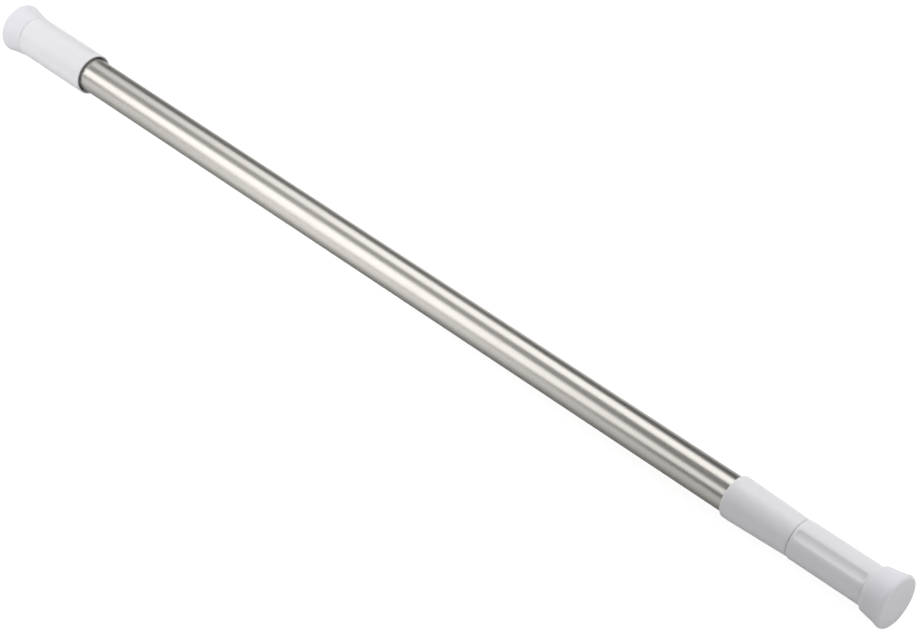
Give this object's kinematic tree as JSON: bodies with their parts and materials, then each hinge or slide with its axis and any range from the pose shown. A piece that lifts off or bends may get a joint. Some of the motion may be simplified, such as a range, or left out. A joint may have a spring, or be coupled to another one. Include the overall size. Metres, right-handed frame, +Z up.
{
  "type": "extendable curtain rod",
  "caption": "Extendable tension rod for a light curtain: a sprung end cap, telescoping metal tubes and a twist grip that locks the length.",
  "frame": {"origin": "middle of the far foot's wall face", "axes": "+X along the rod to the near foot, +Z up, rod level as it hangs between two walls"},
  "size_m": [0.7154, 0.032, 0.032],
  "materials": {
    "bright_metal": "bright drawn stainless, faint lengthwise grain",
    "white_plastic": "satin moulded plastic",
    "white_rubber": "soft satin vinyl",
    "grey_nylon": "natural moulded nylon",
    "black_rubber": "matt rubber",
    "spring_steel": "drawn spring wire",
    "zinc_steel": "zinc plated"
  },
  "bodies": {
    "spring_cap": {"far_foot_pad": "white_rubber", "spring_cap_sleeve": "white_plastic", "cap_spring": "spring_steel", "cap_retaining_screw": "zinc_steel", "cap_retaining_washer": "zinc_steel"},
    "outer_rod": {"outer_tube": "bright_metal", "spring_seat_plug": "grey_nylon", "guide_bush": "grey_nylon", "mouth_collar": "white_plastic"},
    "expander": {"expander_sleeve": "grey_nylon", "drag_ring": "black_rubber"},
    "cone_nut": {"expander_cone": "grey_nylon"},
    "inner_rod": {"lock_stud": "zinc_steel", "stud_stop_nut": "zinc_steel", "thrust_washer": "zinc_steel", "lock_plug": "grey_nylon", "inner_tube": "bright_metal", "inner_tube_end_plug": "grey_nylon", "grip_sleeve": "white_plastic", "near_foot_pad": "white_rubber"}
  },
  "joints": [
    {"name": "cap_spring_travel", "type": "slide", "parent": "spring_cap", "child": "outer_rod", "axis": [-1, 0, 0], "range_m": [0, 0.015], "stiffness_N_per_m": 2500, "springref_m": -0.006, "deforming": ["cap_spring"]},
    {"name": "extension", "type": "slide", "parent": "outer_rod", "child": "expander", "axis": [1, 0, 0], "range_m": [0, 0.475]},
    {"name": "grip_twist", "type": "hinge", "parent": "expander", "child": "inner_rod", "pos_m": [0.1279, 0, 0], "axis": [-1, 0, 0], "range_deg": [0, 540]},
    {"name": "cone_feed", "type": "slide", "parent": "expander", "child": "cone_nut", "axis": [1, 0, 0], "range_m": [0, 0.00305]}
  ],
  "couplings": [
    {"joint": "cone_feed", "follows": "grip_twist", "m_per_rad": 0.00031831}
  ]
}
